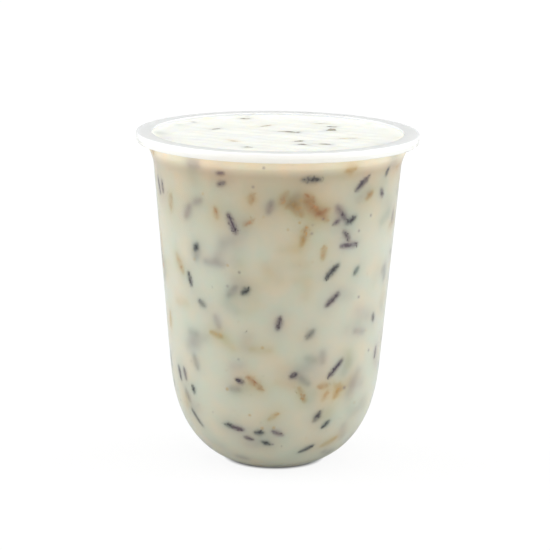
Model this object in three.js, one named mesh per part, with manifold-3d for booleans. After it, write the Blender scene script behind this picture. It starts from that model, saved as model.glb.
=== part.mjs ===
// A cup of yogurt with black rice and fruit shreds in it. The clear cup has a tapered wall
// that bends into a deep round bottom with a small foot. Above the wall are a shoulder, a
// neck and a flat sealing rim with a turned-down lip. The yogurt fills the cup almost to
// the rim. Millimetres, +Z up, with the origin at the middle of the foot.

import * as THREE from "three";
import { mergeVertices } from "three/addons/utils/BufferGeometryUtils.js";
import Module from "manifold-3d";

const SEGMENTS = 64; // flats round the cup

// Cup wall. A depth is measured down from the top of the rim.
const CUP_HEIGHT = 113;
const WALL = 0.8;
const WALL_TOP_RADIUS = 42.54; // outer wall carried on up to the rim
const TAPER = 0.0861; // radius lost for each millimetre down

// Round bottom: a superellipse below BOTTOM_TOP, cut off flat where it would end in a point.
const BOTTOM_TOP = 36.1;
const BOTTOM_DEPTH = 37.9;
const BOTTOM_POWER = 2.64;
const BOTTOM_STEPS = 12;
const FLOOR = 1.3;
const RECESS_RADIUS = 11; // shallow recess in the middle of the foot
const RECESS_DEPTH = 0.5;

// Shoulder and neck: the top of the cup steps out, so that stacked cups come apart.
const SHOULDER_BOTTOM_DEPTH = 11;
const SHOULDER_TOP_DEPTH = 5.9;
const SHOULDER_STEPS = 4;
const NECK_TOP_RADIUS = 43.35;
const NECK_TAPER = 0.03;

// Sealing rim with its turned-down lip.
const RIM_RADIUS = 47.5;
const RIM_THICKNESS = 0.9;
const LIP_DEPTH = 3.2;
const LIP_THICKNESS = 0.8;
const LIP_STEP = 0.15; // the lower half of the lip is set back by this
const LIP_STEP_DEPTH = 1.9;
const MOUTH_STEP = 0.3; // the mouth is narrower than the neck by this
const EDGE_RADIUS = 0.35;
const ARC_STEPS = 3;

// Yogurt.
const GAP = 0.3; // between the yogurt and the cup
const LEVEL_DEPTH = 1.4;
const MENISCUS_HEIGHT = 0.9;
const MENISCUS_WIDTH = 1.2;
const TOP_RINGS = 7;
const RIPPLE_HEIGHT = 0.28;

// Toppings that stand out of the yogurt: x, y, length, turn and tilt in degrees.
const TOPPING_SINK = 0.2; // a topping's middle lies this far below the yogurt's top
const GRAIN_THICKNESS = 1.7;
const GRAINS = [
  [-11.5, 36.5, 4.6, 5, 0],
  [2.5, 8, 7.5, -3, 0],
  [6.8, 8.2, 3, 70, 0],
  [17.1, 10.8, 3.4, 4, -34],
  [19.3, 10.8, 3, -5, 34],
  [18.5, 21, 4.8, 10, 0],
  [7, -12, 4.4, 24, 0],
  [8.3, -20.5, 5, -22, 0],
  [14.9, -17.2, 6.6, 12, 0],
  [-9.6, -27, 3.6, -10, 0],
  [-21, 12, 4.2, 35, 0],
];
const SHRED_WIDTH = 1.5;
const SHRED_THICKNESS = 0.9;
const SHREDS = [
  [15.5, 26.5, 7, -12, 0],
  [23.5, -5, 8, 22, 0],
  [-3.5, 20.5, 6, 30, 0],
  [-15, -12.5, 5.5, -38, 0],
];

const wallRadius = (z) => WALL_TOP_RADIUS - TAPER * (CUP_HEIGHT - z);
const neckRadius = (z) => NECK_TOP_RADIUS - NECK_TAPER * (CUP_HEIGHT - z);
const MOUTH_RADIUS = NECK_TOP_RADIUS - WALL - MOUTH_STEP;

// Points of an arc round (r, z), from one angle to another in degrees.
function arc(r, z, radius, from, to) {
  const points = [];
  for (let i = 0; i <= ARC_STEPS; i++) {
    const angle = THREE.MathUtils.degToRad(from + ((to - from) * i) / ARC_STEPS);
    points.push([r + radius * Math.cos(angle), z + radius * Math.sin(angle)]);
  }
  return points;
}

// The shoulder, moved in by inset: a cove that leaves the wall smoothly and ends at the neck.
function shoulder(inset) {
  const points = [];
  for (let i = 0; i <= SHOULDER_STEPS; i++) {
    const t = i / SHOULDER_STEPS;
    const z = CUP_HEIGHT - THREE.MathUtils.lerp(SHOULDER_BOTTOM_DEPTH, SHOULDER_TOP_DEPTH, t);
    points.push([THREE.MathUtils.lerp(wallRadius(z), neckRadius(z), t * t) - inset, z]);
  }
  return points;
}

// The side of the cup from the edge of its floor up into the neck, moved in by inset.
function side(inset, floor) {
  const depth = BOTTOM_DEPTH - inset;
  const power = 2 / BOTTOM_POWER;
  const end = Math.asin(((BOTTOM_TOP - floor) / depth) ** (1 / power));
  const points = [];
  for (let i = BOTTOM_STEPS; i >= 0; i--) {
    const angle = (end * i) / BOTTOM_STEPS;
    const z = BOTTOM_TOP - depth * Math.sin(angle) ** power;
    points.push([(wallRadius(z) - inset) * Math.cos(angle) ** power, z]);
  }
  return [...points, ...shoulder(inset)];
}

// A body of revolution about Z from [radius, height] points.
function turned(profile) {
  const points = profile.map(([r, z]) => new THREE.Vector2(r, z));
  return new THREE.LatheGeometry(points, SEGMENTS).rotateX(Math.PI / 2);
}

function rimProfile() {
  const top = CUP_HEIGHT;
  const underside = top - RIM_THICKNESS;
  const lipBottom = top - LIP_DEPTH;
  const stepRadius = RIM_RADIUS - LIP_STEP;
  const lipInside = stepRadius - LIP_THICKNESS;
  const half = LIP_THICKNESS / 2;
  const neckEdge = neckRadius(underside - EDGE_RADIUS);
  return [
    ...arc(neckEdge + EDGE_RADIUS, underside - EDGE_RADIUS, EDGE_RADIUS, 180, 90),
    [lipInside, underside],
    ...arc(lipInside + half, lipBottom + half, half, 180, 360),
    [stepRadius, top - LIP_STEP_DEPTH - LIP_STEP],
    [RIM_RADIUS, top - LIP_STEP_DEPTH],
    ...arc(RIM_RADIUS - EDGE_RADIUS, top - EDGE_RADIUS, EDGE_RADIUS, 0, 90),
    ...arc(MOUTH_RADIUS + EDGE_RADIUS, top - EDGE_RADIUS, EDGE_RADIUS, 90, 180),
  ];
}

function cupGeometry() {
  return turned([
    [0, RECESS_DEPTH],
    [RECESS_RADIUS - RECESS_DEPTH, RECESS_DEPTH],
    [RECESS_RADIUS, 0],
    ...side(0, 0),
    ...rimProfile(),
    ...side(WALL, FLOOR).reverse(),
    [0, FLOOR],
  ]);
}

// Height of the yogurt's top: low ripples that die out at the wall, where it climbs a little.
function topHeight(x, y, edge) {
  const r = Math.hypot(x, y);
  const ripple =
    Math.sin(0.21 * x + 0.34 * y + 0.6) +
    0.7 * Math.sin(0.33 * y - 0.13 * x + 2.1) +
    0.5 * Math.sin(0.4 * x + 0.12 * y);
  const calm = 1 - THREE.MathUtils.smoothstep(r, 0.7 * edge, edge);
  const climb = MENISCUS_HEIGHT * Math.exp((r - edge) / MENISCUS_WIDTH);
  return CUP_HEIGHT - LEVEL_DEPTH + (RIPPLE_HEIGHT / 2) * ripple * calm + climb;
}

const level = CUP_HEIGHT - LEVEL_DEPTH;
const topEdge = MOUTH_RADIUS - GAP;

function yogurtCore() {
  const inset = WALL + GAP;
  const rings = [];
  for (let i = TOP_RINGS; i >= 0; i--) {
    rings.push([topEdge * Math.sin((i / TOP_RINGS) * (Math.PI / 2)), level]);
  }
  const geometry = turned([[0, FLOOR + GAP], ...side(inset, FLOOR + GAP), ...rings]);
  const position = geometry.attributes.position;
  for (let i = 0; i < position.count; i++) {
    const onTop = position.getZ(i) > level - 1e-3;
    if (onTop) position.setZ(i, topHeight(position.getX(i), position.getY(i), topEdge));
  }
  return geometry;
}

// A rice grain: a long six-sided spindle along X.
function grain(length) {
  const half = GRAIN_THICKNESS / 2;
  return new THREE.SphereGeometry(1, 6, 4).rotateZ(Math.PI / 2).scale(length / 2, half, half);
}

// A fruit shred: a thin strip along X that bends sideways and narrows towards its ends.
function shred(length) {
  const geometry = new THREE.BoxGeometry(length, SHRED_WIDTH, SHRED_THICKNESS, 4, 1, 1);
  const position = geometry.attributes.position;
  for (let i = 0; i < position.count; i++) {
    const along = (2 * position.getX(i)) / length;
    const narrowed = position.getY(i) * (1 - 0.6 * along * along);
    position.setY(i, narrowed + 0.12 * length * along * along);
  }
  return geometry;
}

// Lays a topping on the yogurt, sunk to a little past its middle.
function laid(geometry, [x, y, , turn, tilt]) {
  geometry.rotateY(THREE.MathUtils.degToRad(tilt));
  geometry.rotateZ(THREE.MathUtils.degToRad(turn));
  return geometry.translate(x, y, topHeight(x, y, topEdge) - TOPPING_SINK);
}

const wasm = await Module();
wasm.setup();

function toSolid(geometry) {
  geometry.deleteAttribute("normal");
  geometry.deleteAttribute("uv");
  const merged = mergeVertices(geometry, 1e-3);
  return new wasm.Manifold(
    new wasm.Mesh({
      numProp: 3,
      vertProperties: merged.attributes.position.array,
      triVerts: new Uint32Array(merged.index.array),
    }),
  );
}

function toGeometry(solid) {
  const mesh = solid.getMesh();
  return new THREE.BufferGeometry()
    .setAttribute("position", new THREE.BufferAttribute(mesh.vertProperties, 3))
    .setIndex(new THREE.BufferAttribute(mesh.triVerts, 1));
}

function yogurtGeometry() {
  let solid = toSolid(yogurtCore());
  for (const place of GRAINS) solid = solid.add(toSolid(laid(grain(place[2]), place)));
  for (const place of SHREDS) solid = solid.add(toSolid(laid(shred(place[2]), place)));
  return toGeometry(solid);
}

function piece(name, geometry, look) {
  const mesh = new THREE.Mesh(geometry, new THREE.MeshStandardMaterial(look));
  mesh.name = name;
  return mesh;
}

const clearPlastic = {
  color: 0xeef0ec,
  roughness: 0.15,
  metalness: 0,
  transparent: true,
  opacity: 0.35,
};
const yogurtCream = { color: 0xe9e4cf, roughness: 0.3, metalness: 0 };

const group = new THREE.Group();
group.add(piece("cup", cupGeometry(), clearPlastic));
group.add(piece("yogurt", yogurtGeometry(), yogurtCream));

export default group;
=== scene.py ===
"""A clear cup of yogurt with black rice and fruit shreds in it.

The cup and the yogurt are turned shapes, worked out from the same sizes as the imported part.
The rice and the fruit are small spindles laid along the wall and on the top. Where one is
sunk in the yogurt, the yogurt's own colour shows it, softer and bluer the deeper it lies.
Sizes are in millimetres up to the point where a shape becomes a mesh, in metres.
"""

import bpy
import numpy as np
from mathutils import Matrix, Vector


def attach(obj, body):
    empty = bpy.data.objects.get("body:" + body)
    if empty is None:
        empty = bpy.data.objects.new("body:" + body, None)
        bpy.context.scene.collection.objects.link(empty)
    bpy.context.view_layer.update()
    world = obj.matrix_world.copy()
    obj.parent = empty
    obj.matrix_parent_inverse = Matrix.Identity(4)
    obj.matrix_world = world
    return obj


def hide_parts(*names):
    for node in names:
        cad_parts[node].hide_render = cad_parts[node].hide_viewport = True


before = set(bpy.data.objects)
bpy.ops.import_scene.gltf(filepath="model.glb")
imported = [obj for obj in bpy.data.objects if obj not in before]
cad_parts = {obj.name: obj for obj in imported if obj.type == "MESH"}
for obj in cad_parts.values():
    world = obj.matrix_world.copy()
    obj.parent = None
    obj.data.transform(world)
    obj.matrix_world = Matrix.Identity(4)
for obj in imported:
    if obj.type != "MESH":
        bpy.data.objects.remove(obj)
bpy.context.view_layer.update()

MM = 0.001
BODY = "root"

# Cup wall. A depth is measured down from the top of the rim.
CUP_HEIGHT = 113
WALL = 0.8
WALL_TOP_RADIUS = 42.54  # outer wall carried on up to the rim
TAPER = 0.0861  # radius lost for each millimetre down

# Round bottom: a superellipse below BOTTOM_TOP, cut off flat where it would end in a point.
BOTTOM_TOP = 36.1
BOTTOM_DEPTH = 37.9
BOTTOM_POWER = 2.64
FLOOR = 1.3
RECESS_RADIUS = 11
RECESS_DEPTH = 0.5

# Shoulder and neck.
SHOULDER_BOTTOM_DEPTH = 11
SHOULDER_TOP_DEPTH = 5.9
NECK_TOP_RADIUS = 43.35
NECK_TAPER = 0.03

# Sealing rim with its turned-down lip.
RIM_RADIUS = 47.5
RIM_THICKNESS = 0.9
LIP_DEPTH = 3.2
LIP_THICKNESS = 0.8
LIP_STEP = 0.15
LIP_STEP_DEPTH = 1.9
MOUTH_STEP = 0.3
EDGE_RADIUS = 0.35
MOUTH_RADIUS = NECK_TOP_RADIUS - WALL - MOUTH_STEP

# Yogurt. It reaches this far into the wall, so that no air shows between them.
OVERLAP = 0.08
LEVEL_DEPTH = 1.4
MENISCUS_HEIGHT = 0.9
MENISCUS_WIDTH = 1.2
RIPPLE_HEIGHT = 0.28
RIPPLES = [  # share of the height, radians of phase for each mm of x and of y, first phase
    (1, 0.21, 0.34, 0.6),
    (0.7, -0.13, 0.33, 2.1),
    (0.5, 0.4, 0.12, 0),
    (0.5, 0.45, 0.95, 1.3),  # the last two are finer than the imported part's
    (0.4, -0.5, 1.15, 0),
]
CALM_FROM = 0.7  # share of the top's radius at which the ripples start to die out
TOP_EDGE = MOUTH_RADIUS + OVERLAP

# How finely the shapes are cut up.
CUP_SEGMENTS = 256
CUP_ROW = 1.0  # between two rows of points up the cup
YOGURT_SEGMENTS = 372
YOGURT_ROW = 0.7  # the same for the yogurt's side
FLOOR_ROW = 1.6  # and for its flat floor
TOP_RINGS = 46  # rings of points across the yogurt's top
ARC_STEPS = 8
BOTTOM_RUN = 62  # about how long the round bottom's curve is
SHOULDER_RUN = 8
BESIDE = 0.15  # from a corner of the rim to the point that keeps the face beside it flat

# Toppings that stand out of the yogurt: x, y, length, turn and tilt in degrees.
GRAIN_THICKNESS = 1.7
TOP_GRAINS = [
    [-11.5, 36.5, 4.6, 5, 0],
    [2.5, 8, 7.5, -3, 0],
    [6.8, 8.2, 3, 70, 0],
    [17.1, 10.8, 3.4, 4, -34],
    [19.3, 10.8, 3, -5, 34],
    [18.5, 21, 4.8, 10, 0],
    [7, -12, 4.4, 24, 0],
    [8.3, -20.5, 5, -22, 0],
    [14.9, -17.2, 6.6, 12, 0],
    [-9.6, -27, 3.6, -10, 0],
    [-21, 12, 4.2, 35, 0],
]
SHRED_WIDTH = 1.5
SHRED_THICKNESS = 0.9
TOP_SHREDS = [
    [15.5, 26.5, 7, -12, 0],
    [23.5, -5, 8, 22, 0],
    [-3.5, 20.5, 6, 30, 0],
    [-15, -12.5, 5.5, -38, 0],
]

# Rice seen through the front wall: degrees round from the front, height, turn in degrees,
# length, width, and how deep its near side lies. Below zero it is pressed on the plastic.
FRONT_GRAINS = [
    [15.3, 103.6, -2, 5.3, 2.2, -0.04],
    [42, 101, 38, 5.8, 1.7, -0.1],
    [-73, 96.5, -72, 5.2, 1.6, -0.06],
    [-68, 96.5, -80, 3.6, 1.2, 0.05],
    [-86, 90.3, -78, 6.1, 1.3, -0.07],
    [-26, 101.5, 20, 2.1, 1.4, 0.1],
    [-26, 105, 10, 1.8, 1, 0.14],
    [-21, 88.5, -68, 6.6, 1.9, -0.1],
    [-46, 90.5, 60, 4, 2.4, 0.6],
    [-3, 94.5, 75, 3.4, 2, 0.4],
    [31.5, 92, -52, 5.4, 2.3, 0.16],
    [37, 89, 25, 3.4, 1.9, -0.09],
    [29, 89, 30, 1.5, 1.2, -0.03],
    [35, 84, -50, 3.2, 1.8, 0.06],
    [37, 80.5, 0, 6.4, 1.7, -0.08],
    [60, 103.5, 70, 2.3, 1.3, 0.05],
    [57, 96.5, -60, 2.4, 1.6, 0.05],
    [-42, 79, 60, 1.7, 1.7, -0.12],
    [-42, 77.3, 80, 4, 2.4, 0.7],
    [28, 72.5, 45, 5.8, 2, -0.09],
    [43, 71.5, 55, 2.3, 1.2, 0.1],
    [-48, 67.5, -75, 4.1, 1.3, -0.06],
    [-15, 66, 40, 2.4, 1.8, -0.04],
    [-22, 65.5, 50, 3.6, 2.2, 0.6],
    [-40, 60, -30, 2.3, 1.8, 0.1],
    [29.5, 62.5, 42, 5.5, 1.8, -0.04],
    [2, 55.5, 80, 3.8, 1.9, -0.04],
    [-31, 54.5, -70, 3.5, 1.2, 0.8],
    [18, 51.5, 50, 2.8, 1.8, 0.2],
    [61, 53.5, -70, 1.9, 1.5, 0.1],
    [-47, 39, -70, 3.8, 2, 0.5],
    [-80, 35.5, -82, 4.7, 1.3, -0.04],
    [-64, 33, -75, 4.3, 1.3, -0.03],
    [-58, 33.5, -75, 3.4, 1.3, 0.05],
    [-79, 27.5, -75, 2.1, 1.3, -0.03],
    [-51, 29, -75, 1.9, 1.5, -0.09],
    [-58, 26, -65, 3.2, 2, 0.4],
    [69, 40.5, 85, 3, 1.3, 0.05],
    [34, 38.7, 47, 7.1, 1.3, -0.1],
    [-19, 35, -30, 1.9, 1.6, -0.04],
    [-22, 32, 0, 2.5, 1.3, 0.9],
    [10, 37.5, 30, 1.8, 1.6, -0.08],
    [16, 35.5, -40, 3.3, 1.3, 0.8],
    [25, 22.5, 62, 3.2, 2.2, 0],
    [32, 19, 45, 2.6, 1.6, -0.04],
    [-53, 18.5, -58, 6, 1.1, -0.07],
    [-22.5, 18, -10, 3.8, 1.7, -0.09],
    [-28, 18.6, 0, 1.7, 1.6, -0.07],
    [-16, 14.5, -18, 2.3, 1.3, -0.04],
    [-9, 17, 8, 2.1, 1.8, -0.09],
    [-5, 13, -25, 1.8, 1.6, -0.06],
    [2, 17, -28, 3, 1.7, 0.1],
    [23, 10, 38, 4.7, 1.5, -0.04],
    [87, 101, 85, 5.2, 1.5, -0.07],
]
# Fruit seen through the front wall, in the same terms.
FRONT_SHREDS = [
    [-11, 97, 80, 2.6, 2.6, 0.04],
    [-59, 92, 85, 5, 2.9, 0.25],
    [3, 97.5, 60, 4, 2.4, 0.2],
    [7, 95, 10, 3, 3.1, 0.04],
    [10, 93.5, -50, 4.2, 2.6, 0],
    [17, 95, -42, 6, 2.9, 0],
    [15, 97.5, -35, 3, 1.9, 0.04],
    [21, 92.8, 20, 3.6, 1.8, 0.04],
    [22, 91, -50, 3.6, 1.7, 0.04],
    [12, 95, -30, 7, 5.3, 1],
    [14, 85.5, 80, 4.4, 2.6, 0],
    [13, 83, 75, 3, 1.4, 0.04],
    [22, 79, 85, 4, 1.6, 0.05],
    [-29, 91.5, -80, 3.2, 1.4, 0.15],
    [-13, 89, 30, 3.2, 1.4, 0.1],
    [48, 96.5, 40, 2.6, 1.7, 0.04],
    [34, 106.5, 10, 3.2, 2.9, 0.1],
    [-54, 72.5, -60, 6, 3.1, 0.3],
    [-32, 50, -15, 3.8, 1.7, 0.1],
    [-73, 50.5, 80, 4.6, 2.4, 0.1],
    [-10, 35, -42, 6.2, 2.3, 0],
    [37, 32, -30, 3, 3.1, 0.04],
    [35, 30, 60, 2.6, 1.9, 0.1],
    [29, 29.5, 60, 3, 1.8, 0.1],
    [27, 33.5, 0, 3, 1.9, 0.15],
    [14, 30.5, -65, 5, 1.6, 0.15],
    [-1, 23.5, 40, 3.8, 1.4, 0.1],
    [40, 11.5, 30, 5, 2.9, 0.3],
]

# The rest is scattered by a seeded draw.
SEED = 11
IN_CLUSTERS = 0.45  # share of the scattered bits that lie beside the one before
LOWEST = 2.0  # height of the lowest scattered bit's middle
HIGHEST = CUP_HEIGHT - 4
STRAY = 1.2  # how far a bit strays from the one before, as a share of their least distance
UNLISTED = 0.3  # a near bit is scattered where the cosine of its angle is below this
PRESSED = (-0.25, 0.5)  # depth range of the bits near the wall
SUNK = (0.8, 3.0)  # and of those behind them
CLOSER = 0.5  # share of their kind's least distance that the ones behind may be apart
THICKNESSES = (0.85, 1.05)  # range of a bit's thickness, as a share of its kind's
PRESS = 0.05  # how far a bit may press past the yogurt's surface, towards the plastic

# Each kind of bit. Near and sunk are how many are drawn at the wall and behind it, and apart
# is the least distance between two. A cut is how many rings of points a bit has, and how
# many points a ring. Its stain is what the yogurt round it takes on, close to it and further
# off. Its film is how strongly yogurt coats the ones on the top.
RICE = {
    "front": FRONT_GRAINS, "top": TOP_GRAINS, "near": 130, "sunk": 170, "apart": 5.0,
    "lengths": (1.8, 6.8), "widths": (0.9, 1.9),
    "thickness": 1.6, "top_width": GRAIN_THICKNESS,
    "point": 0.3, "bend": 0.03, "uneven": 0.08, "cut": (6, 8), "sink": -0.5, "film": 0.55,
    "skins": ("17181C", "40263A"), "near_stains": ("6F8087", "8B7690"),
    "far_stains": ("AEBFC0", "C2B4C4"), "strengths": (0.75, 1.0), "glow": 0.25,
}
FRUIT = {
    "front": FRONT_SHREDS, "top": TOP_SHREDS, "near": 55, "sunk": 70, "apart": 6.0,
    "lengths": (2.6, 6.2), "widths": (1.2, 2.6),
    "thickness": SHRED_THICKNESS, "top_width": SHRED_WIDTH,
    "point": 0.4, "bend": 0.08, "uneven": 0.15, "cut": (6, 8), "sink": -0.3, "film": 0.9,
    "skins": ("B98E3C", "A4622E"), "near_stains": ("DFC48C", "E0B68C"),
    "far_stains": ("EBDDB8", "EEDCBC"), "strengths": (0.45, 0.8), "glow": 0.5,
}
FILM = "D2CDBD"  # yogurt that clings to a bit on the top
OUTLINE_REACH = 1.5  # mm to either side of a bit's outline that the yogurt's points record
CORE = 0.7  # share of a bit's width that shows as its dark core
SINKING = 3.0  # how much a bit's outline shrinks for each millimetre of yogurt over it
TOP_STRENGTH = 0.35  # share of its stain that a bit on the open top keeps
PITCH = 0.04  # usual slope of a bit into or out of the wall

# How a bit's stain spreads and fades, in mm. A shadow's reach grows with the bit's width and
# with the yogurt over it, and the glow's doesn't.
SHADOW_REACH = 0.35
SHADOW_PER_WIDTH = 0.65
SHADOW_PER_DEPTH = 0.4
SHADOW_DEPTH = 1.6  # of yogurt in which the shadow fades
GLOW_REACH = 2.4
GLOW_DEPTH = 2.5
FAR_AFTER = 0.5  # of yogurt after which a stain takes on its far colour
FAR_SIDEWAYS = 0.35  # what a millimetre beside the bit counts for in that
WITHIN_REACH = 8  # points further than this past a bit's ends take nothing on
SHORT_OF_TIPS = 0.02  # share of a bit's length left out at each tip, where it has no width
CLEAR = 1.0  # a bit that stands further than this out of the surface doesn't show in it
STAIN_KEYS = ("near_stains", "far_stains")

# Painted light and shade near the top: how the cream's red, green and blue change, and between
# which heights. The neck is painted paler, as painted light from the top. Below it the cream is
# painted browner, as painted shade under the rim, most of all in the cove.
NECK_ZONE, NECK_PAINTED_LIGHT = (-3.2, 1.2), (1.41, 1.29, 1.24)
UPPER_ZONE, UPPER_PAINTED_SHADE = (-30, -12), (0.91, 0.88, 0.82)
COVE_ZONE, COVE_PAINTED_SHADE = (-11, -2), (1.05, 0.93, 0.88)


# --- small helpers ---------------------------------------------------------------------


def srgb(code):
    """A hex colour as linear red, green, blue and a full alpha."""
    parts = np.array([int(code[i : i + 2], 16) for i in (0, 2, 4)]) / 255
    linear = np.where(parts <= 0.04045, parts / 12.92, ((parts + 0.055) / 1.055) ** 2.4)
    return (*linear.tolist(), 1.0)


def shades(codes, share):
    """Colours between two hex colours, by a share for each."""
    first, second = (np.array(srgb(code)[:3]) for code in codes)
    return first + (second - first) * np.asarray(share)[..., None]


def add(tree, kind, inputs=None, **settings):
    """A new node with its settings. An input is a plain value or another node's socket."""
    node = tree.nodes.new(kind)
    for name, value in settings.items():
        setattr(node, name, value)
    for key, value in (inputs or {}).items():
        if isinstance(value, bpy.types.NodeSocket):
            tree.links.new(value, node.inputs[key])
        else:
            node.inputs[key].default_value = value
    return node


def spaced(size):
    """The scale of a pattern on Object coordinates whose features are this many mm apart."""
    return 1 / (size * MM)


def material(name):
    """A new material and its node tree, emptied."""
    made = bpy.data.materials.new(name)
    made.use_nodes = True
    made.node_tree.nodes.clear()
    return made, made.node_tree


def smooth_step(value, low, high):
    """A share that eases from 0 at low to 1 at high: t squared times three minus two t."""
    t = np.clip((value - low) / (high - low), 0, 1)
    return t * t * (3 - 2 * t)


def add_piece(name, points, faces, looks, face_looks=None):
    """A smooth mesh piece in metres from points in millimetres."""
    mesh = bpy.data.meshes.new(name)
    mesh.from_pydata((np.asarray(points) * MM).tolist(), [], faces)
    mesh.polygons.foreach_set("use_smooth", np.ones(len(faces), dtype=bool))
    for look in looks:
        mesh.materials.append(look)
    if face_looks is not None:
        mesh.polygons.foreach_set("material_index", face_looks)
    mesh.update()
    piece = bpy.data.objects.new(name, mesh)
    bpy.context.scene.collection.objects.link(piece)
    return piece


def add_colours(piece, name, colours):
    """A colour for each point of a piece, kept as a named attribute."""
    layer = piece.data.attributes.new(name, "FLOAT_COLOR", "POINT")
    full = np.concatenate([colours, np.ones((len(colours), 1))], axis=1)
    layer.data.foreach_set("color", full.astype(np.float32).ravel())


def ring_faces(rows, columns):
    """Faces of rings of points between two poles, in three arrays: the fan at the first
    pole, the quads between the rings, and the fan at the last pole."""
    ring = np.arange(rows)[:, None] * columns + 1
    here = np.arange(columns)
    beside = (here + 1) % columns
    low, high = ring[:-1], ring[1:]
    quads = np.stack([low + here, low + beside, high + beside, high + here], axis=-1)
    pole = np.full_like(here, rows * columns + 1)
    first_fan = np.stack([np.zeros_like(here), 1 + beside, 1 + here], axis=-1)
    last_fan = np.stack([ring[-1] + here, ring[-1] + beside, pole], axis=-1)
    return [first_fan, quads.reshape(-1, 4), last_fan]


def evenly(line, steps):
    """A line of points made again with even steps along it."""
    travelled = np.concatenate([[0], np.cumsum(np.hypot(*np.diff(line, axis=0).T))])
    stations = np.linspace(0, travelled[-1], steps + 1)
    return np.stack([np.interp(stations, travelled, line[:, i]) for i in (0, 1)], axis=-1)


def straight(start, end, step):
    """Points strictly between two points, about a step apart."""
    start, end = np.asarray(start, float), np.asarray(end, float)
    count = max(int(np.hypot(*(end - start)) / step), 1)
    t = np.arange(1, count)[:, None] / count
    return start + (end - start) * t


def arc(r, z, radius, start, end):
    """Points of an arc round (r, z), from one angle to another in degrees."""
    angle = np.radians(np.linspace(start, end, ARC_STEPS + 1))
    return np.stack([r + radius * np.cos(angle), z + radius * np.sin(angle)], axis=-1)


def turned(profile, segments):
    """A body of revolution: each (radius, height) point carried round Z, poles on the axis."""
    angle = np.linspace(0, 2 * np.pi, segments, endpoint=False)
    r, z = profile[1:-1].T[:, :, None]
    rings = np.stack([r * np.cos(angle), r * np.sin(angle), z + 0 * angle], axis=-1)
    first, last = [0, 0, profile[0, 1]], [0, 0, profile[-1, 1]]
    points = np.concatenate([[first], rings.reshape(-1, 3), [last]])
    return points, ring_faces(len(r), segments)


# --- the cup's shape -------------------------------------------------------------------


def wall_radius(z):
    """The wall's outer radius: a cone that loses TAPER a millimetre, going down."""
    return WALL_TOP_RADIUS - TAPER * (CUP_HEIGHT - z)


def neck_radius(z):
    """The neck's outer radius: a cone on the shoulder that loses NECK_TAPER a millimetre."""
    return NECK_TOP_RADIUS - NECK_TAPER * (CUP_HEIGHT - z)


def bottom(inset, floor, steps):
    """The round bottom, moved in by inset, from its floor's edge up to the straight wall.

    A superellipse: down by depth times sin(angle) to the power, and out to the radius times
    cos(angle) to the power. Many points are worked out, closer where the angle is small and
    the curve runs fast, and the steps are then set evenly along them.
    """
    depth = BOTTOM_DEPTH - inset
    power = 2 / BOTTOM_POWER
    end = np.arcsin(((BOTTOM_TOP - floor) / depth) ** (1 / power))
    angle = end * np.linspace(1, 0, 20 * steps) ** 1.3
    z = BOTTOM_TOP - depth * np.sin(angle) ** power
    r = (wall_radius(z) - inset) * np.cos(angle) ** power
    return evenly(np.stack([r, z], axis=-1), steps)


def shoulder(inset, steps):
    """A cove from the wall out to the neck: the share of the neck grows with the square."""
    t = np.linspace(0, 1, steps + 1)
    z = CUP_HEIGHT - SHOULDER_BOTTOM_DEPTH - (SHOULDER_TOP_DEPTH - SHOULDER_BOTTOM_DEPTH) * t
    r = wall_radius(z) + (neck_radius(z) - wall_radius(z)) * t**2 - inset
    return np.stack([r, z], axis=-1)


def side(inset, floor, step):
    """The side from the edge of the floor up into the neck, moved in by inset."""
    low = bottom(inset, floor, int(BOTTOM_RUN / step))
    high = shoulder(inset, int(SHOULDER_RUN / step) + 2)
    return np.concatenate([low, straight(low[-1], high[0], step), high])


def rim_profile():
    """The rim's section: its underside, the turned-down lip with a small step, and its top.

    Each corner has points close beside it, so that the faces next to it shade flat.
    """
    top = CUP_HEIGHT
    underside = top - RIM_THICKNESS
    lip_bottom = top - LIP_DEPTH
    step_radius = RIM_RADIUS - LIP_STEP
    step_top = top - LIP_STEP_DEPTH
    lip_inside = step_radius - LIP_THICKNESS
    half = LIP_THICKNESS / 2
    inner = 0.2  # fillet between the rim's underside and its lip
    soft = 0.02  # how much the step's two corners are broken
    neck_edge = neck_radius(underside - EDGE_RADIUS)
    return np.concatenate([
        arc(neck_edge + EDGE_RADIUS, underside - EDGE_RADIUS, EDGE_RADIUS, 180, 90),
        [[neck_edge + EDGE_RADIUS + BESIDE, underside], [lip_inside - inner - BESIDE, underside]],
        arc(lip_inside - inner, underside - inner, inner, 90, 0),
        [[lip_inside, underside - inner - BESIDE]],
        arc(lip_inside + half, lip_bottom + half, half, 180, 360),
        [[step_radius, step_top - LIP_STEP - BESIDE], [step_radius + soft, step_top - LIP_STEP]],
        [[RIM_RADIUS - soft, step_top - soft], [RIM_RADIUS, step_top + BESIDE]],
        [[RIM_RADIUS, top - EDGE_RADIUS - BESIDE]],
        arc(RIM_RADIUS - EDGE_RADIUS, top - EDGE_RADIUS, EDGE_RADIUS, 0, 90),
        [[RIM_RADIUS - EDGE_RADIUS - BESIDE, top], [MOUTH_RADIUS + EDGE_RADIUS + BESIDE, top]],
        arc(MOUTH_RADIUS + EDGE_RADIUS, top - EDGE_RADIUS, EDGE_RADIUS, 90, 180),
    ])


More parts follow.
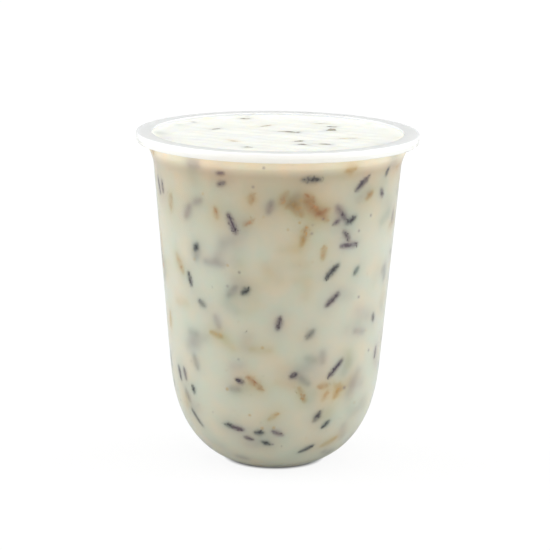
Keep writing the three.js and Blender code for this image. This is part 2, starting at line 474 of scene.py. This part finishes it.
def make_cup(looks):
    """The cup: outer side, rim and inner side as one closed section.

    Its looks are for the thin wall, the flange, and the lip that hangs from it. The recess
    in the foot has its corners slightly broken, with points close beside them.
    """
    recess_edge = RECESS_RADIUS - RECESS_DEPTH
    foot = np.array([
        [0, RECESS_DEPTH], [recess_edge / 2, RECESS_DEPTH], [recess_edge - 0.2, RECESS_DEPTH],
        [recess_edge, RECESS_DEPTH - 0.05], [RECESS_RADIUS - 0.05, 0.03], [RECESS_RADIUS + 0.1, 0],
    ])
    inner = side(WALL, FLOOR, CUP_ROW)[::-1]
    rim = rim_profile()
    outer = np.concatenate([foot, side(0, 0, CUP_ROW)])
    profile = np.concatenate([outer, rim, inner, [[inner[-1, 0] / 2, FLOOR], [0, FLOOR]]])
    points, (first_fan, quads, last_fan) = turned(profile, CUP_SEGMENTS)
    band = np.arange(len(quads)) // CUP_SEGMENTS
    in_rim = (band >= len(outer) - 1) & (band < len(outer) + len(rim) - 1)
    middle = profile[1:-1][np.stack([band, band + 1])].mean(axis=0)
    lip_from = RIM_RADIUS - LIP_STEP - LIP_THICKNESS - 0.3  # with the fillet inside the lip
    in_lip = in_rim & (middle[:, 0] > lip_from)
    part = np.where(in_lip, 2, np.where(in_rim, 1, 0))
    part = np.concatenate([np.zeros(len(first_fan)), part, np.zeros(len(last_fan))])
    faces = [face for some in (first_fan, quads, last_fan) for face in some.tolist()]
    return add_piece("clear_cup", points, faces, looks, part.astype(int))


# --- the yogurt's shape ----------------------------------------------------------------


def top_height(x, y):
    """Height of the yogurt's top at x and y.

    The level, with a sum of sines of x and y that dies out towards the wall, and a climb at
    the wall that falls off with the exponential of the distance from it.
    """
    r = np.hypot(x, y)
    ripple = sum(share * np.sin(a * x + b * y + phase) for share, a, b, phase in RIPPLES)
    calm = 1 - smooth_step(r, CALM_FROM * TOP_EDGE, TOP_EDGE)
    climb = MENISCUS_HEIGHT * np.exp((r - TOP_EDGE) / MENISCUS_WIDTH)
    return CUP_HEIGHT - LEVEL_DEPTH + RIPPLE_HEIGHT / 2 * ripple * calm + climb


class Wall:
    """The yogurt's side as a map: an angle round from the front, and a distance along it."""

    def __init__(self):
        floor = FLOOR - OVERLAP
        up = side(WALL - OVERLAP, floor, YOGURT_ROW)
        base = straight([0, floor], up[0], FLOOR_ROW)
        edge = [TOP_EDGE, CUP_HEIGHT - LEVEL_DEPTH + MENISCUS_HEIGHT]
        neck = straight(up[-1], edge, YOGURT_ROW)
        self.line = np.concatenate([[[0, floor]], base, up, neck, [edge]])
        run = np.gradient(self.line, axis=0)
        run /= np.hypot(*run.T)[:, None]
        self.outward = np.stack([run[:, 1], -run[:, 0]], axis=-1)
        steps = np.hypot(*np.diff(self.line, axis=0).T)
        self.along = np.concatenate([[0], np.cumsum(steps)])

    def at_height(self, z):
        """How far along the side a height is."""
        return np.interp(z, self.line[:, 1], self.along)

    def radius(self, along):
        """The side's radius at a distance along it."""
        return np.interp(along, self.along, self.line[:, 0])

    def place(self, angle, along, depth):
        """Points on the side, moved in by depth. Angle 0 is the front, at -Y."""
        r, z = (np.interp(along, self.along, self.line[:, i]) for i in (0, 1))
        out, up = (np.interp(along, self.along, self.outward[:, i]) for i in (0, 1))
        r = r - depth * out
        return np.stack([r * np.sin(angle), -r * np.cos(angle), z - depth * up], axis=-1)


def outward_directions(points, parts):
    """Outward directions of a mesh's points, from the sum of its faces' normals."""
    normals = np.zeros_like(points)
    for faces in parts:
        a, b, c = (points[faces[:, i]] for i in (0, 1, 2))
        flat = np.cross(b - a, c - a)
        for i in range(faces.shape[1]):
            np.add.at(normals, faces[:, i], flat)
    return normals / np.linalg.norm(normals, axis=1)[:, None]


# --- the rice and the fruit ------------------------------------------------------------


def listed(wall, rows):
    """The bits of a list, with the heights turned into distances along the wall."""
    angle, height, turn, length, width, depth = np.array(rows, float).T
    return [np.radians(angle), wall.at_height(height), np.radians(turn), length, width, depth]


def scattered(wall, kind, taken, count, apart, depths, draw):
    """Seeded places all round the wall in loose clusters, none nearer to another than apart.

    A place that isn't beside the last one is kept by a chance that grows with the wall's
    radius there, so that the narrow foot isn't crowded.
    """
    low, high = wall.at_height(LOWEST), wall.at_height(HIGHEST)
    places = [wall.place(taken[0], taken[1], 0)]
    found = [[0.0, high / 2]]
    while len(found) <= count:
        angle, along = draw.uniform(-np.pi, np.pi), draw.uniform(low, high)
        if draw.random() < IN_CLUSTERS:
            step = draw.normal(0, STRAY * apart, 2)
            angle = found[-1][0] + step[0] / wall.radius(found[-1][1])
            along = np.clip(found[-1][1] + step[1], low, high)
        elif draw.random() > wall.radius(along) / WALL_TOP_RADIUS:
            continue
        point = wall.place(np.array([angle]), np.array([along]), 0)
        if min(np.linalg.norm(known - point, axis=1).min() for known in places) < apart:
            continue
        places.append(point)
        found.append([angle, along])
    angle, along = np.array(found[1:]).T
    turn = draw.uniform(-np.pi / 2, np.pi / 2, count)
    length, width = (draw.uniform(*kind[key], count) for key in ("lengths", "widths"))
    return [angle, along, turn, length, width, draw.uniform(*depths, count)]


def gathered(wall, kind, draw):
    """The listed bits, the near ones round the rest of the wall, and the sunk ones."""
    front = listed(wall, kind["front"])
    near = scattered(wall, kind, front, kind["near"], kind["apart"], PRESSED, draw)
    unseen = np.cos(near[0]) < UNLISTED
    near = [column[unseen] for column in near]
    sunk = scattered(wall, kind, front, kind["sunk"], CLOSER * kind["apart"], SUNK, draw)
    return [np.concatenate(column) for column in zip(front, near, sunk)]


def spindles(length, width, thickness, bend, kind, draw):
    """Closed spindles in frames of their own, as an array of bits by points by 3.

    Along x the section goes from one pole to the other in cosine steps s. Its size is one
    minus s squared, to the power of the kind's point, and a little uneven from point to
    point. Its middle bends sideways with s squared.
    """
    count = len(length)
    rings, around = kind["cut"]
    s = np.cos(np.linspace(np.pi, 0, rings + 2))[1:-1, None]
    turn = np.linspace(0, 2 * np.pi, around, endpoint=False)
    unevenness = draw.normal(0, kind["uneven"], (count, rings, around))
    size = (1 - s**2) ** kind["point"] * (1 + unevenness)
    length, width, thickness, sideways = (
        value[:, None, None] for value in (length, width, thickness, bend * length)
    )
    x = length / 2 * s * np.ones(around)
    y = width / 2 * size * np.cos(turn) + sideways * s**2
    z = thickness / 2 * size * np.sin(turn)
    body = np.stack([x, y, z], axis=-1).reshape(count, -1, 3)
    end = np.concatenate([length / 2, sideways, 0 * length], axis=-1)
    return np.concatenate([end * [-1, 1, 1], body, end], axis=1)


def on_wall(wall, local, places, thickness, pitch):
    """Local points laid along the wall: x and y turned on it, z through it, pressed flat."""
    angle, along, turn, _, _, depth = (value[:, None] for value in places)
    x, y, z = local[..., 0], local[..., 1], local[..., 2]
    across = x * np.cos(turn) - y * np.sin(turn)
    below = depth + thickness[:, None] / 2 - z + pitch[:, None] * x
    angle = angle + across / wall.radius(along)
    along = along + x * np.sin(turn) + y * np.cos(turn)
    return wall.place(angle, along, np.maximum(below, -PRESS))


def on_top(local, rows, sink):
    """Local points laid on the yogurt's top: tilted, turned, and sunk."""
    x, y, _, turn, tilt = np.array(rows, float).T[:, :, None]
    turn, tilt = np.radians(turn), np.radians(tilt)
    a, b, c = local[..., 0], local[..., 1], local[..., 2]
    a, c = a * np.cos(tilt) + c * np.sin(tilt), c * np.cos(tilt) - a * np.sin(tilt)
    east = x + a * np.cos(turn) - b * np.sin(turn)
    north = y + a * np.sin(turn) + b * np.cos(turn)
    return np.stack([east, north, c + top_height(x, y) + sink], axis=-1)


def make_bits(name, kind, wall, look, draw):
    """One joined piece of all the bits of a kind, at the wall and on top.

    Gives the piece and what stains the yogurt: each bit's two ends, half its thickness and
    width, its tone and how strongly it stains.
    """
    places = gathered(wall, kind, draw)
    count, top_count = len(places[0]), len(kind["top"])
    length, width = places[3:5]
    thickness = kind["thickness"] * draw.uniform(*THICKNESSES, count)
    local = spindles(length, width, thickness, draw.normal(0, kind["bend"], count), kind, draw)
    walled = on_wall(wall, local, places, thickness, draw.normal(0, PITCH, count))
    top_length = np.array(kind["top"], float)[:, 2]
    plain = np.ones(top_count)
    local = spindles(
        top_length, kind["top_width"] * plain, kind["thickness"] * plain,
        draw.normal(0, kind["bend"], top_count), kind, draw,
    )
    laid = on_top(local, kind["top"], kind["sink"])

    points = np.concatenate([walled, laid])
    tone = draw.random(len(points))
    filmed = np.zeros((len(points), 1, 1))
    filmed[count:] = kind["film"]
    skin = shades(kind["skins"], tone)[:, None] * (1 - filmed) + np.array(srgb(FILM)[:3]) * filmed
    skin = skin * np.ones_like(points)
    shift = np.arange(len(points))[:, None, None] * points.shape[1]
    faces = [
        face
        for part in ring_faces(*kind["cut"])
        for face in (part + shift).reshape(-1, part.shape[1]).tolist()
    ]
    piece = add_piece(name, points.reshape(-1, 3), faces, [look])
    add_colours(piece, "skin", skin.reshape(-1, 3))
    strength = draw.uniform(*kind["strengths"], len(points))
    strength[count:] *= TOP_STRENGTH
    half_depth = np.concatenate([thickness, kind["thickness"] * plain]) / 2
    half_width = np.concatenate([width, kind["top_width"] * plain]) / 2
    stains = zip(points[:, 0], points[:, -1], half_depth, half_width, tone, strength)
    return piece, list(stains)


def stained(colours, outlines, points, outward, stains, kind, kind_mark):
    """What the yogurt's points take on from the bits under them, as seen from outside.

    The spot on a bit that is nearest to a point gives the bit's depth below the surface and
    its distance beside the point. Colours are multiplied by a stain: a shadow of the bit that
    fades with the square of the distance and with depth, and a wide faint glow. Outlines
    record how far inside or outside the core of the nearest bit a point is, and the bit's
    tone and kind.
    """
    near_stains, far_stains = (shades(kind[key], np.array([0.0, 1.0])) for key in STAIN_KEYS)
    along_it = (SHORT_OF_TIPS, 1 - SHORT_OF_TIPS)
    for start, end, half_depth, half_width, tone, strength in stains:
        middle = (start + end) / 2
        reach = np.linalg.norm(end - start) / 2 + WITHIN_REACH
        close = np.flatnonzero(np.abs(points - middle).max(axis=1) < reach)
        axis = end - start
        share = np.clip((points[close] - start) @ axis / (axis @ axis), *along_it)
        to_bit = start + share[:, None] * axis - points[close]
        depth = -(to_bit * outward[close]).sum(axis=1)
        beside = np.linalg.norm(to_bit + depth[:, None] * outward[close], axis=1)
        width_here = half_width * (4 * share * (1 - share)) ** kind["point"]
        below = np.maximum(depth - half_depth, 0)
        spread = SHADOW_REACH + SHADOW_PER_WIDTH * width_here + SHADOW_PER_DEPTH * below
        shadow = np.exp(-0.5 * (beside / spread) ** 2 - below / SHADOW_DEPTH)
        glow = kind["glow"] * np.exp(-0.5 * (beside / GLOW_REACH) ** 2 - below / GLOW_DEPTH)
        stands_clear = depth < -CLEAR
        shadow[stands_clear] = 0
        glow[stands_clear] = 0
        outside = beside - CORE * width_here
        travelled = below + FAR_SIDEWAYS * np.maximum(outside, 0)
        far = 1 - np.exp(-travelled / FAR_AFTER)[:, None]
        near_stain, far_stain = (
            pair[0] * (1 - tone) + pair[1] * tone for pair in (near_stains, far_stains)
        )
        stain = near_stain * (1 - far) + far_stain * far
        colours[close] *= 1 - strength * shadow[:, None] * (1 - stain)
        colours[close] *= 1 - strength * glow[:, None] * (1 - far_stain)
        inside = 0.5 - (outside + SINKING * below) / (2 * OUTLINE_REACH)
        inside[stands_clear] = 0
        nearer = inside > outlines[close, 0]
        outlines[close[nearer], 0] = inside[nearer]
        outlines[close[nearer], 1] = tone
        outlines[close[nearer], 2] = kind_mark


def painted_light_and_shade_by_height(z):
    """Painted light and shade on the cream: paler in the neck as painted light, and browner below
    it, most so in the cove, as painted shade.

    Each zone fades in between two heights, measured from the shoulder's top.
    """
    above = z - (CUP_HEIGHT - SHOULDER_TOP_DEPTH)
    neck = smooth_step(above, *NECK_ZONE)
    upper = smooth_step(above, *UPPER_ZONE) * (1 - neck)
    cove = smooth_step(above, *COVE_ZONE) * (1 - neck)
    zones = ((neck, NECK_PAINTED_LIGHT), (upper, UPPER_PAINTED_SHADE), (cove, COVE_PAINTED_SHADE))
    return 1 + sum(share[:, None] * (np.array(tone) - 1) for share, tone in zones)


def make_yogurt(wall, against_wall, open_top, all_stains):
    """The yogurt: its side and its rippled top as one closed surface."""
    rings = TOP_EDGE * np.linspace(1, 0, TOP_RINGS)[1:]
    over = np.stack([rings, np.full_like(rings, wall.line[-1, 1])], axis=-1)
    points, parts = turned(np.concatenate([wall.line, over]), YOGURT_SEGMENTS)
    side_points = 1 + (len(wall.line) - 1) * YOGURT_SEGMENTS
    top = np.arange(len(points)) >= side_points
    points[top, 2] = top_height(points[top, 0], points[top, 1])
    outward = outward_directions(points, parts)
    colours = np.ones_like(points)
    # The side's cream takes painted light in the neck and painted shade below it, by height.
    colours[~top] = painted_light_and_shade_by_height(points[~top, 2])
    outlines = np.zeros_like(points)
    for mark, (stains, kind) in enumerate(all_stains):
        stained(colours, outlines, points, outward, stains, kind, mark)
    looks = [(part.max(axis=1) >= side_points).astype(int) for part in parts]
    faces = [face for part in parts for face in part.tolist()]
    piece = add_piece("yogurt_body", points, faces, [against_wall, open_top], np.concatenate(looks))
    add_colours(piece, "stains_and_painted_light", colours)
    add_colours(piece, "bit_outlines", np.clip(outlines, 0, 1))
    return piece


# --- materials -------------------------------------------------------------------------

# Sizes of the patterns, in mm.
FLOW_WAVES = 6.25  # of the moulded plastic
CLOUDS = 9.09  # of warmer and greener cream
SPECKS_APART = 3.846
RAGGEDNESS = 1.389  # of a bit's edge under the surface. Real skins go finer than would show.
FIBRES = 0.87  # of soaked fruit, several times too coarse, so that they show
SLACK_RIPPLES = 4.76  # of the wet top
BRAN_STREAKS = 1.111  # coarser than on real rice, so that they show
FLESH_STREAKS = 1.538  # of fruit, and of all bits seen through the yogurt's surface
TOOTH = 2.0  # of the table's acrylic, far too coarse, so that it shows at all


def polypropylene(name, colour, clearness, glow):
    """Clarified polypropylene, injection moulded: a soft gloss, faint flow waves, and clear
    where it is thin, milky where light runs a long way in it, as in the rim. Light from lamps
    and pale surroundings passes it unbent, so that what is behind it is lit as through a
    thin wall."""
    made, tree = material(name)
    place = add(tree, "ShaderNodeTexCoord")
    waves = add(tree, "ShaderNodeTexNoise", {
        "Vector": place.outputs["Object"], "Scale": spaced(FLOW_WAVES),
        "Detail": 2.0, "Roughness": 0.4,
    })
    relief = add(tree, "ShaderNodeBump", {
        "Height": waves.outputs["Fac"], "Strength": 0.06, "Distance": 0.4 * MM,
    })
    body = add(tree, "ShaderNodeBsdfPrincipled", {
        "Base Color": srgb(colour), "Roughness": 0.1, "IOR": 1.49,
        "Transmission Weight": clearness, "Subsurface Weight": glow,
        "Subsurface Radius": (1.0, 1.0, 1.0), "Subsurface Scale": 5 * MM,
        "Normal": relief.outputs["Normal"],
    })
    clear = add(tree, "ShaderNodeBsdfTransparent", {"Color": srgb("F6F7F5")})
    path = add(tree, "ShaderNodeLightPath")
    passes = add(tree, "ShaderNodeMath", {
        0: path.outputs["Is Shadow Ray"], 1: path.outputs["Is Diffuse Ray"],
    }, operation="MAXIMUM")
    mix = add(tree, "ShaderNodeMixShader", {
        "Fac": passes.outputs[0], 1: body.outputs[0], 2: clear.outputs[0],
    })
    add(tree, "ShaderNodeOutputMaterial", {"Surface": mix.outputs[0]})
    return made


def blended(tree, first, second, share=1.0, how="MIX"):
    """Two colours mixed or multiplied, each a plain one or a socket, as a socket."""
    node = add(tree, "ShaderNodeMix", {0: share}, data_type="RGBA", blend_type=how)
    colours = [socket for socket in node.inputs if socket.type == "RGBA"]
    for socket, value in zip(colours, (first, second)):
        if isinstance(value, bpy.types.NodeSocket):
            tree.links.new(value, socket)
        else:
            socket.default_value = value
    return next(socket for socket in node.outputs if socket.type == "RGBA")


def streaked(tree, colour, size, spread):
    """A colour made lighter and darker by a fine noise of a size in mm, as a socket."""
    place = add(tree, "ShaderNodeTexCoord")
    streaks = add(tree, "ShaderNodeTexNoise", {
        "Vector": place.outputs["Object"], "Scale": spaced(size), "Detail": 2.0,
    })
    shade = add(tree, "ShaderNodeMapRange", {
        "Value": streaks.outputs["Fac"], "From Min": 0.3, "From Max": 0.7,
        "To Min": 1 - spread, "To Max": 1 + spread,
    })
    scaled = add(tree, "ShaderNodeVectorMath", {
        0: colour, "Scale": shade.outputs["Result"],
    }, operation="SCALE")
    return scaled.outputs["Vector"]


def specked(tree, colour):
    """A colour with loose crumbs of bran and fruit in it: soft dots, mostly under a
    millimetre across, in a little over half of a Voronoi pattern's cells. The higher a
    cell's own chance, the wider its dot. Half of them are gold, and the rest dark."""
    place = add(tree, "ShaderNodeTexCoord")
    cells = add(tree, "ShaderNodeTexVoronoi", {
        "Vector": place.outputs["Object"], "Scale": spaced(SPECKS_APART),
    })
    chance = add(tree, "ShaderNodeSeparateColor", {0: cells.outputs["Color"]})
    size = add(tree, "ShaderNodeMapRange", {
        "Value": chance.outputs[0], "From Min": 0.4, "From Max": 1.0, "To Max": 0.24,
    })
    nearness = add(tree, "ShaderNodeMath", {
        0: size.outputs["Result"], 1: cells.outputs["Distance"],
    }, operation="SUBTRACT")
    dot = add(tree, "ShaderNodeMapRange", {
        "Value": nearness.outputs[0], "From Max": 0.14, "To Max": 0.5,
    })
    is_gold = add(tree, "ShaderNodeMath", {0: chance.outputs[1], 1: 0.5}, operation="GREATER_THAN")
    crumb = blended(tree, srgb("6B6070"), srgb("B58F52"), is_gold.outputs[0])
    return blended(tree, colour, crumb, dot.outputs["Result"])


def yogurt_against_wall():
    """Stirred yogurt pressed against plastic: no gloss of its own, light goes in a few
    millimetres, and the cream is faintly mottled, warmer and greener by turns. Its cream is
    painted far darker than the same yogurt's open top, as painted shade. Rice and fruit that
    lie right under the surface show dark and golden, with soft ragged edges. Yogurt shows
    between the fibres of the fruit, and faintly through the rice."""
    made, tree = material("yogurt_against_wall")
    place = add(tree, "ShaderNodeTexCoord")
    clouds = add(tree, "ShaderNodeTexNoise", {
        "Vector": place.outputs["Object"], "Scale": spaced(CLOUDS), "Detail": 3.0, "Roughness": 0.6,
    })
    # Cream far darker than the open top's, as painted shade.
    mottle = add(tree, "ShaderNodeValToRGB", {"Fac": clouds.outputs["Fac"]})
    ramp = mottle.color_ramp
    ramp.elements[0].position = 0.34
    ramp.elements[0].color = srgb("D1C8B4")
    ramp.elements[1].position = 0.66
    ramp.elements[1].color = srgb("C6C9B9")
    ramp.elements.new(0.5).color = srgb("CBC8B7")
    # The points' colours: the bits' stains and, on the side, the painted light and shade by height.
    seen = add(tree, "ShaderNodeAttribute", attribute_name="stains_and_painted_light")
    cream = blended(tree, mottle.outputs["Color"], seen.outputs["Color"], how="MULTIPLY")
    outlines = add(tree, "ShaderNodeAttribute", attribute_name="bit_outlines")
    parts = add(tree, "ShaderNodeSeparateColor", {0: outlines.outputs["Color"]})
    inside, tone, is_fruit = (parts.outputs[i] for i in range(3))
    crumbs = add(tree, "ShaderNodeTexNoise", {
        "Vector": place.outputs["Object"], "Scale": spaced(RAGGEDNESS),
        "Detail": 4.0, "Roughness": 0.7, "Distortion": 0.9,
    })
    ragged = add(tree, "ShaderNodeMapRange", {
        "Value": is_fruit, "To Min": 2.6, "To Max": 4.2,
    })
    uneven = add(tree, "ShaderNodeMath", {
        0: crumbs.outputs["Fac"], 1: 0.5,
    }, operation="SUBTRACT")
    moved = add(tree, "ShaderNodeMath", {
        0: uneven.outputs[0], 1: ragged.outputs["Result"], 2: inside,
    }, operation="MULTIPLY_ADD")
    cover = add(tree, "ShaderNodeMapRange", {"Value": is_fruit, "To Min": 0.97, "To Max": 0.7})
    shown = add(tree, "ShaderNodeMapRange", {
        "Value": moved.outputs[0], "From Min": 0.37, "From Max": 0.8,
        "To Max": cover.outputs["Result"],
    }, interpolation_type="SMOOTHSTEP")
    fibres = add(tree, "ShaderNodeTexNoise", {
        "Vector": place.outputs["Object"], "Scale": spaced(FIBRES),
        "Detail": 3.0, "Distortion": 1.2,
    })
    thinnest = add(tree, "ShaderNodeMapRange", {"Value": is_fruit, "To Min": 0.6, "To Max": 0.0})
    torn = add(tree, "ShaderNodeMapRange", {
        "Value": fibres.outputs["Fac"], "From Min": 0.42, "From Max": 0.55,
        "To Min": thinnest.outputs["Result"],
    })
    torn_cover = add(tree, "ShaderNodeMath", {
        0: shown.outputs["Result"], 1: torn.outputs["Result"],
    }, operation="MULTIPLY")
    rice = blended(tree, srgb(RICE["skins"][0]), srgb(RICE["skins"][1]), tone)
    fruit = blended(tree, srgb(FRUIT["skins"][0]), srgb(FRUIT["skins"][1]), tone)
    bit = streaked(tree, blended(tree, rice, fruit, is_fruit), FLESH_STREAKS, 0.35)
    body = add(tree, "ShaderNodeBsdfPrincipled", {
        "Base Color": blended(tree, specked(tree, cream), bit, torn_cover.outputs[0]),
        "Roughness": 0.6, "Specular IOR Level": 0.0,
        "Subsurface Weight": 1.0, "Subsurface Radius": (1.0, 0.85, 0.6),
        "Subsurface Scale": 4 * MM,
    })
    add(tree, "ShaderNodeOutputMaterial", {"Surface": body.outputs[0]})
    return made


def yogurt_open_top():
    """The open top of stirred yogurt: white, wet and smooth, with fine slack ripples.
    Its cream is painted far paler than the same yogurt's at the side, as painted light from above.
    """
    made, tree = material("yogurt_open_top")
    place = add(tree, "ShaderNodeTexCoord")
    ripples = add(tree, "ShaderNodeTexNoise", {
        "Vector": place.outputs["Object"], "Scale": spaced(SLACK_RIPPLES),
        "Detail": 2.0, "Roughness": 0.45,
    })
    relief = add(tree, "ShaderNodeBump", {
        "Height": ripples.outputs["Fac"], "Strength": 0.25, "Distance": 0.6 * MM,
    })
    seen = add(tree, "ShaderNodeAttribute", attribute_name="stains_and_painted_light")
    # Cream far paler than the side's, as painted light from above.
    body = add(tree, "ShaderNodeBsdfPrincipled", {
        "Base Color": blended(tree, srgb("EAEAE2"), seen.outputs["Color"], how="MULTIPLY"),
        "Roughness": 0.28, "IOR": 1.35,
        "Subsurface Weight": 1.0, "Subsurface Radius": (1.0, 0.85, 0.6),
        "Subsurface Scale": 4 * MM, "Normal": relief.outputs["Normal"],
    })
    add(tree, "ShaderNodeOutputMaterial", {"Surface": body.outputs[0]})
    return made


def black_rice_bran():
    """Cooked black rice: a purple-black bran with a silky gloss, paler where yogurt clings."""
    made, tree = material("black_rice_bran")
    own = add(tree, "ShaderNodeAttribute", attribute_name="skin")
    body = add(tree, "ShaderNodeBsdfPrincipled", {
        "Base Color": streaked(tree, own.outputs["Color"], BRAN_STREAKS, 0.4),
        "Roughness": 0.4, "Specular IOR Level": 0.2,
    })
    add(tree, "ShaderNodeOutputMaterial", {"Surface": body.outputs[0]})
    return made


def soaked_fruit():
    """Soaked yellow fruit: soft golden flesh that lets some light in, in fine fibres."""
    made, tree = material("soaked_fruit")
    own = add(tree, "ShaderNodeAttribute", attribute_name="skin")
    body = add(tree, "ShaderNodeBsdfPrincipled", {
        "Base Color": streaked(tree, own.outputs["Color"], FLESH_STREAKS, 0.25),
        "Roughness": 0.35, "IOR": 1.38,
        "Subsurface Weight": 0.5, "Subsurface Radius": (1.0, 0.6, 0.25),
        "Subsurface Scale": 1.5 * MM,
    })
    add(tree, "ShaderNodeOutputMaterial", {"Surface": body.outputs[0]})
    return made


def light_table():
    """White opal acrylic, matt, with a faint tooth, that glows evenly from below. Its glow is
    turned down under and just round the foot, as a painted contact shadow. The camera sees the
    glow straight and through the cup. For light that bounces, it is a plain pale floor with a
    far weaker glow, so that the round bottom isn't lit from under it."""
    made, tree = material("light_table")
    place = add(tree, "ShaderNodeTexCoord")
    tooth = add(tree, "ShaderNodeTexNoise", {
        "Vector": place.outputs["Object"], "Scale": spaced(TOOTH),
    })
    relief = add(tree, "ShaderNodeBump", {
        "Height": tooth.outputs["Fac"], "Strength": 0.02, "Distance": 0.2 * MM,
    })
    shared = {"Roughness": 0.9, "Specular IOR Level": 0.1, "Normal": relief.outputs["Normal"]}
    lit = add(tree, "ShaderNodeBsdfPrincipled", {
        "Base Color": srgb("C4C4C0"), "Emission Color": srgb("FFFFFF"),
        "Emission Strength": 0.05, **shared,
    })
    from_foot = add(tree, "ShaderNodeVectorMath", {
        0: place.outputs["Object"],
    }, operation="LENGTH")
    out_of_painted_shadow = add(tree, "ShaderNodeMapRange", {
        "Value": from_foot.outputs["Value"],
        "From Min": FOOT_PAINTED_SHADOW[0] * MM, "From Max": FOOT_PAINTED_SHADOW[1] * MM,
        "To Min": GLOWS[0], "To Max": GLOWS[1],
    })
    glowing = add(tree, "ShaderNodeBsdfPrincipled", {
        "Base Color": srgb("5A5A5A"), "Emission Color": srgb("FFFFFF"),
        "Emission Strength": out_of_painted_shadow.outputs["Result"], **shared,
    })
    path = add(tree, "ShaderNodeLightPath")
    looked_at = add(tree, "ShaderNodeMath", {
        0: path.outputs["Is Camera Ray"], 1: path.outputs["Is Transmission Ray"],
    }, operation="MAXIMUM")
    mix = add(tree, "ShaderNodeMixShader", {
        "Fac": looked_at.outputs[0], 1: lit.outputs[0], 2: glowing.outputs[0],
    })
    add(tree, "ShaderNodeOutputMaterial", {"Surface": mix.outputs[0]})
    return made


# --- studio ----------------------------------------------------------------------------

DISTANCE = 800  # from the camera to the point that it looks at
ELEVATION = 12.25  # degrees
AIM_HEIGHT = 63.59
AIM_SIDE = -0.34
ROLL = 0.74  # degrees
LENS = 154.05  # on a 36 mm frame

# The table's glow is turned down under and just round the foot, as a painted contact shadow.
FOOT_PAINTED_SHADOW = (15.2, 17.6)  # mm from the cup's axis over which the table's glow comes up
GLOWS = (0.1, 0.88)  # its strength under the foot, and all round

# How bright the room is on each side, with two wide lamps left and right of the cup.
CAMERA_SIDE = (1.17, 1.11, 1.06, 1.0)
FAR_SIDE = (0.43, 0.44, 0.45, 1.0)
OVERHEAD = (1.08, 1.05, 0.99, 1.0)
LAMPS = (3.9, 4.25, 4.7, 1.0)

# Where each of these begins and ends, by the Y or the Z of the direction to it.
FAR_FROM = (-0.2, 0.6)
LAMPS_FROM = (-0.5, 0.0)
LAMPS_TO = (0.65, 0.25)
OVERHEAD_FROM = (0.45, 0.85)


def add_camera():
    """The camera on a ball round its aim point, looking slightly down, with a small roll."""
    tilt, roll = np.radians(ELEVATION), np.radians(ROLL)
    right = np.array([1, 0, 0])
    back = np.array([0, -np.cos(tilt), np.sin(tilt)])
    up = np.array([0, np.sin(tilt), np.cos(tilt)])
    rolled_right = right * np.cos(roll) + up * np.sin(roll)
    rolled_up = up * np.cos(roll) - right * np.sin(roll)
    data = bpy.data.cameras.new("camera")
    data.lens = LENS
    data.sensor_width = 36
    data.clip_end = 100
    camera = bpy.data.objects.new("camera", data)
    place = (np.array([AIM_SIDE, 0, AIM_HEIGHT]) + DISTANCE * back) * MM
    turn = Matrix((rolled_right, rolled_up, back)).transposed().to_4x4()
    camera.matrix_world = Matrix.Translation(Vector(place)) @ turn
    bpy.context.scene.collection.objects.link(camera)
    bpy.context.scene.camera = camera


def add_floor(look):
    """A wide sheet just under the foot."""
    half, z = 8000, -0.02
    corners = [[-half, -half, z], [half, -half, z], [half, half, z], [-half, half, z]]
    floor = add_piece("floor", corners, [[0, 1, 2, 3]], [look])


def light_room():
    """Soft light from all round: two wide lamps at the sides, a little behind the cup, that
    gleam on its flanks, a pale warm room on the camera's side, and a dim one behind."""
    world = bpy.data.worlds.new("studio")
    bpy.context.scene.world = world
    world.use_nodes = True
    tree = world.node_tree
    tree.nodes.clear()
    place = add(tree, "ShaderNodeTexCoord")
    axes = add(tree, "ShaderNodeSeparateXYZ", {0: place.outputs["Generated"]})

    def step(axis, low, high):
        """A share that goes from 0 at low to 1 at high."""
        return add(tree, "ShaderNodeMapRange", {
            "Value": axes.outputs[axis], "From Min": low, "From Max": high,
        }, interpolation_type="SMOOTHSTEP").outputs["Result"]

    room = blended(tree, CAMERA_SIDE, FAR_SIDE, step("Y", *FAR_FROM))
    beside = add(tree, "ShaderNodeMath", {
        0: step("Y", *LAMPS_FROM), 1: step("Y", *LAMPS_TO),
    }, operation="MULTIPLY")
    sides = blended(tree, room, LAMPS, beside.outputs[0])
    glow = add(tree, "ShaderNodeBackground", {
        "Color": blended(tree, sides, OVERHEAD, step("Z", *OVERHEAD_FROM)),
    })
    add(tree, "ShaderNodeOutputWorld", {"Surface": glow.outputs[0]})


def set_render():
    """Tones as they come, and enough bounces for light through the cup and in the yogurt."""
    scene = bpy.context.scene
    scene.view_settings.view_transform = "Standard"
    scene.cycles.max_bounces = 16
    scene.cycles.transmission_bounces = 12
    scene.cycles.transparent_max_bounces = 16
    scene.cycles.diffuse_bounces = 5


# --- the whole -------------------------------------------------------------------------

set_render()
add_camera()
light_room()
add_floor(light_table())

draw = np.random.default_rng(SEED)
wall = Wall()
rice, rice_stains = make_bits("rice_grains", RICE, wall, black_rice_bran(), draw)
fruit, fruit_stains = make_bits("fruit_shreds", FRUIT, wall, soaked_fruit(), draw)
all_stains = ((rice_stains, RICE), (fruit_stains, FRUIT))
yogurt = make_yogurt(wall, yogurt_against_wall(), yogurt_open_top(), all_stains)
cup = make_cup([
    polypropylene("clear_polypropylene", "FBFCFA", 0.96, 0.0),
    polypropylene("cloudy_polypropylene", "FFFFFC", 0.1, 1.0),
    # The lip is the same milky plastic as the flange, given a slightly darker colour as painted
    # shade.
    polypropylene("milky_lip_polypropylene_painted_darker", "F7F6F5", 0.12, 1.0),
])

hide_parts("cup")
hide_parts("yogurt")
for piece in (cup, yogurt, rice, fruit):
    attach(piece, BODY)
